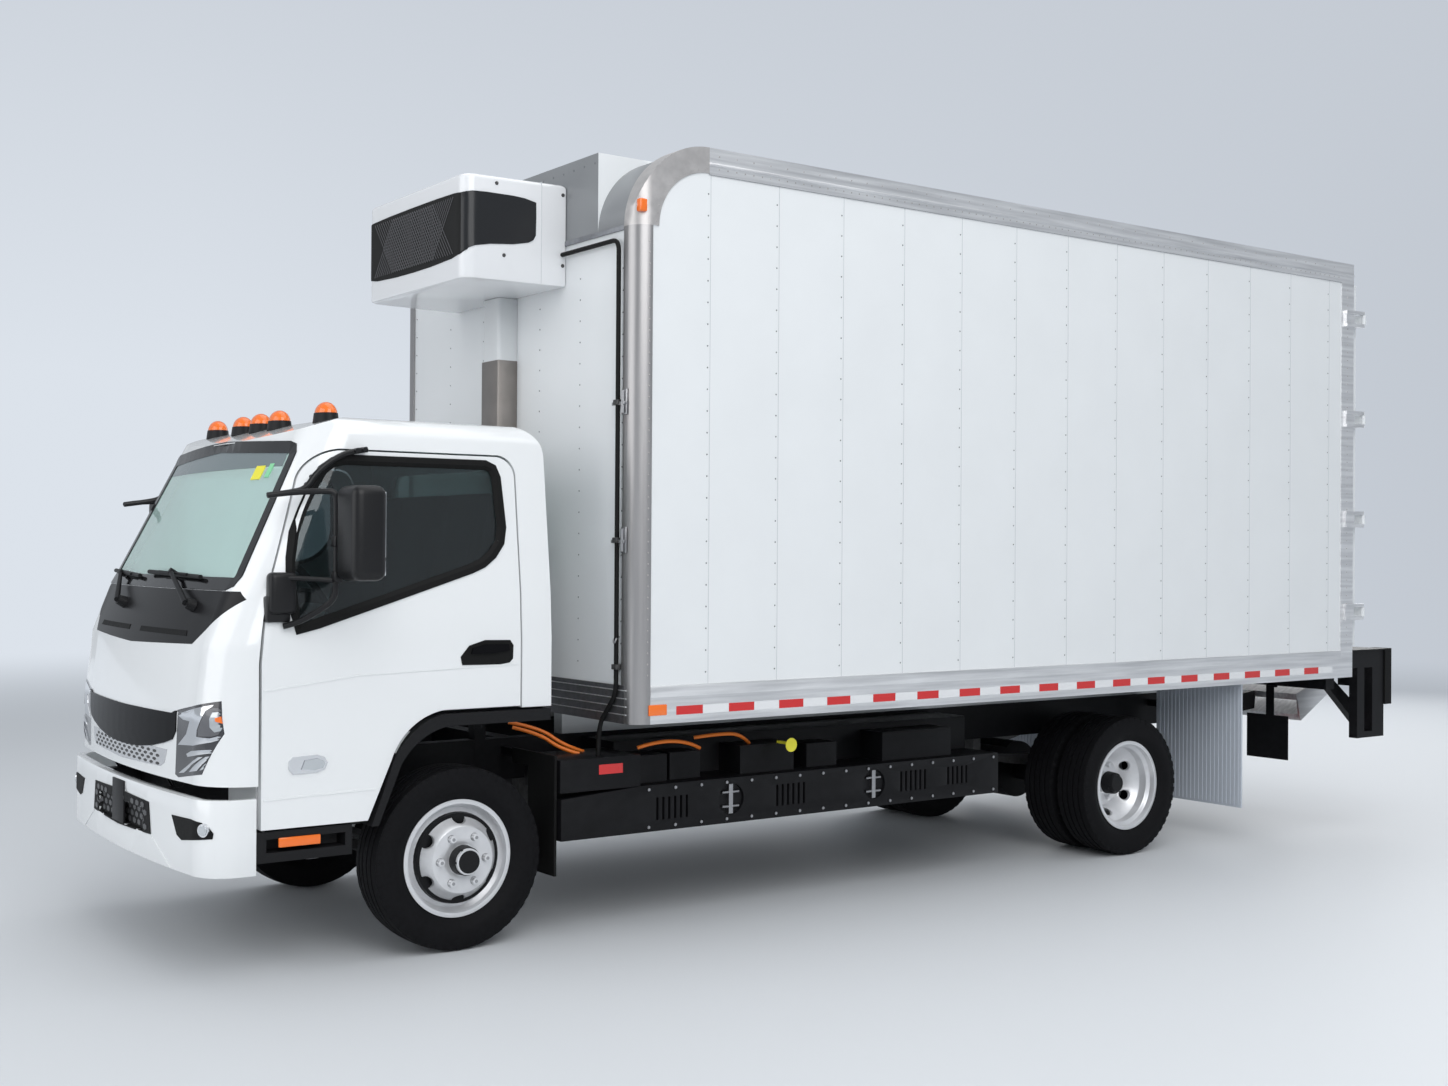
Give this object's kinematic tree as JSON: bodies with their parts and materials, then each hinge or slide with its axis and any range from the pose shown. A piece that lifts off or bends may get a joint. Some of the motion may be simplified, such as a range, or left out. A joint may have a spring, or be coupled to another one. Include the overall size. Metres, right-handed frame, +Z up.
{
  "type": "refrigerated box truck",
  "caption": "Electric cab-over box truck with a nose-mounted cooler, battery packs between the axles, a dock frame and a stowed lift gate",
  "frame": {"origin": "centre of the bounding box at ground level", "axes": "+X runs back along the truck, -Y is the driver's (left) side, +Z is up"},
  "size_m": [7.944, 2.71, 3.657],
  "materials": {
    "cab_white": "gloss fleet white",
    "box_white": "satin white FRP-faced panel",
    "box_aluminium": "white-washed extrusion",
    "frame_black": "black chassis paint",
    "steel_dark": "bare dark steel",
    "trim_black": "grained black plastic",
    "wheel_white": "silver-white wheel enamel",
    "tyre_black": "road tyre",
    "glass_tint": "tinted safety glass",
    "lamp_clear": "clear lamp lens",
    "seat_grey": "dark woven fabric",
    "rubber_black": "moulded rubber",
    "flap_white": "white splash guard",
    "floor_alloy": "ribbed cargo floor",
    "pack_black": "black battery casing",
    "cooler_white": "white unit cover"
  },
  "bodies": {
    "chassis": {"ladder_frame": "frame_black", "front_axle": "frame_black", "rear_axle": "frame_black", "leaf_springs": "steel_dark", "battery_packs": "pack_black", "front_bumper": "cab_white", "bumper_grille": "trim_black", "box_shell": "box_white", "box_frame": "box_aluminium", "cargo_floor": "floor_alloy", "cooler_housing": "cooler_white", "air_duct": "box_aluminium", "cooler_cable": "rubber_black", "dock_frame": "box_aluminium", "dock_bumpers": "rubber_black", "mud_flaps": "flap_white"},
    "cab": {"cab_shell": "cab_white", "cab_glass": "glass_tint", "cab_steps": "trim_black", "arch_flares": "trim_black", "nose_trim": "trim_black", "headlamps": "lamp_clear", "seats": "seat_grey", "dashboard": "trim_black"},
    "cab_door_left": {"cab_door_left": "cab_white", "door_glass_left": "glass_tint", "mirror_left": "trim_black"},
    "cab_door_right": {"cab_door_right": "cab_white", "door_glass_right": "glass_tint", "mirror_right": "trim_black"},
    "steer_left": {"knuckle_left": "steel_dark"},
    "steer_right": {"knuckle_right": "steel_dark"},
    "tie_rod": {"tie_rod": "steel_dark"},
    "front_wheel_left": {"tyre_front_left": "tyre_black", "rim_front_left": "wheel_white"},
    "front_wheel_right": {"tyre_front_right": "tyre_black", "rim_front_right": "wheel_white"},
    "rear_wheels_left": {"tyres_rear_left": "tyre_black", "rims_rear_left": "wheel_white"},
    "rear_wheels_right": {"tyres_rear_right": "tyre_black", "rims_rear_right": "wheel_white"},
    "cargo_door_left": {"cargo_door_left": "box_white"},
    "cargo_door_right": {"cargo_door_right": "box_white"},
    "lift_gate": {"lift_arms": "frame_black", "gate_platform": "box_aluminium"}
  },
  "joints": [
    {"name": "cab_tilt", "type": "hinge", "parent": "chassis", "child": "cab", "pos_m": [-3.872, 0, 0.85], "axis": [0, -1, 0], "range_deg": [0, 45]},
    {"name": "cab_door_left_swing", "type": "hinge", "parent": "cab", "child": "cab_door_left", "pos_m": [-3.674, -0.983, 1], "axis": [0, 0, -1], "range_deg": [0, 70]},
    {"name": "cab_door_right_swing", "type": "hinge", "parent": "cab", "child": "cab_door_right", "pos_m": [-3.674, 0.983, 1], "axis": [0, 0, 1], "range_deg": [0, 70]},
    {"name": "steer_left", "type": "hinge", "parent": "chassis", "child": "steer_left", "pos_m": [-2.762, -0.7225, 0.4055], "axis": [0, 0, 1], "range_deg": [-35, 35]},
    {"name": "steer_right", "type": "hinge", "parent": "chassis", "child": "steer_right", "pos_m": [-2.762, 0.7225, 0.4055], "axis": [0, 0, 1], "range_deg": [-35, 35]},
    {"name": "tie_rod_slide", "type": "slide", "parent": "chassis", "child": "tie_rod", "axis": [0, -1, 0], "range_m": [-0.0916, 0.0916]},
    {"name": "front_wheel_left_spin", "type": "hinge", "parent": "steer_left", "child": "front_wheel_left", "pos_m": [-2.762, -0.8325, 0.4055], "axis": [0, 1, 0], "continuous": true},
    {"name": "front_wheel_right_spin", "type": "hinge", "parent": "steer_right", "child": "front_wheel_right", "pos_m": [-2.762, 0.8325, 0.4055], "axis": [0, 1, 0], "continuous": true},
    {"name": "rear_wheels_left_spin", "type": "hinge", "parent": "chassis", "child": "rear_wheels_left", "pos_m": [1.538, -0.825, 0.4055], "axis": [0, 1, 0], "continuous": true},
    {"name": "rear_wheels_right_spin", "type": "hinge", "parent": "chassis", "child": "rear_wheels_right", "pos_m": [1.538, 0.825, 0.4055], "axis": [0, 1, 0], "continuous": true},
    {"name": "cargo_door_left_swing", "type": "hinge", "parent": "chassis", "child": "cargo_door_left", "pos_m": [3.583, -1.245, 2.35], "axis": [0, 0, -1], "range_deg": [0, 250]},
    {"name": "cargo_door_right_swing", "type": "hinge", "parent": "chassis", "child": "cargo_door_right", "pos_m": [3.583, 1.245, 2.35], "axis": [0, 0, 1], "range_deg": [0, 250]},
    {"name": "lift_gate_lower", "type": "hinge", "parent": "chassis", "child": "lift_gate", "pos_m": [2.838, 0, 0.72], "axis": [0, 1, 0], "range_deg": [0, 30]}
  ],
  "couplings": [
    {"joint": "steer_right", "follows": "steer_left", "ratio": 1},
    {"joint": "tie_rod_slide", "follows": "steer_left", "m_per_rad": 0.15}
  ]
}
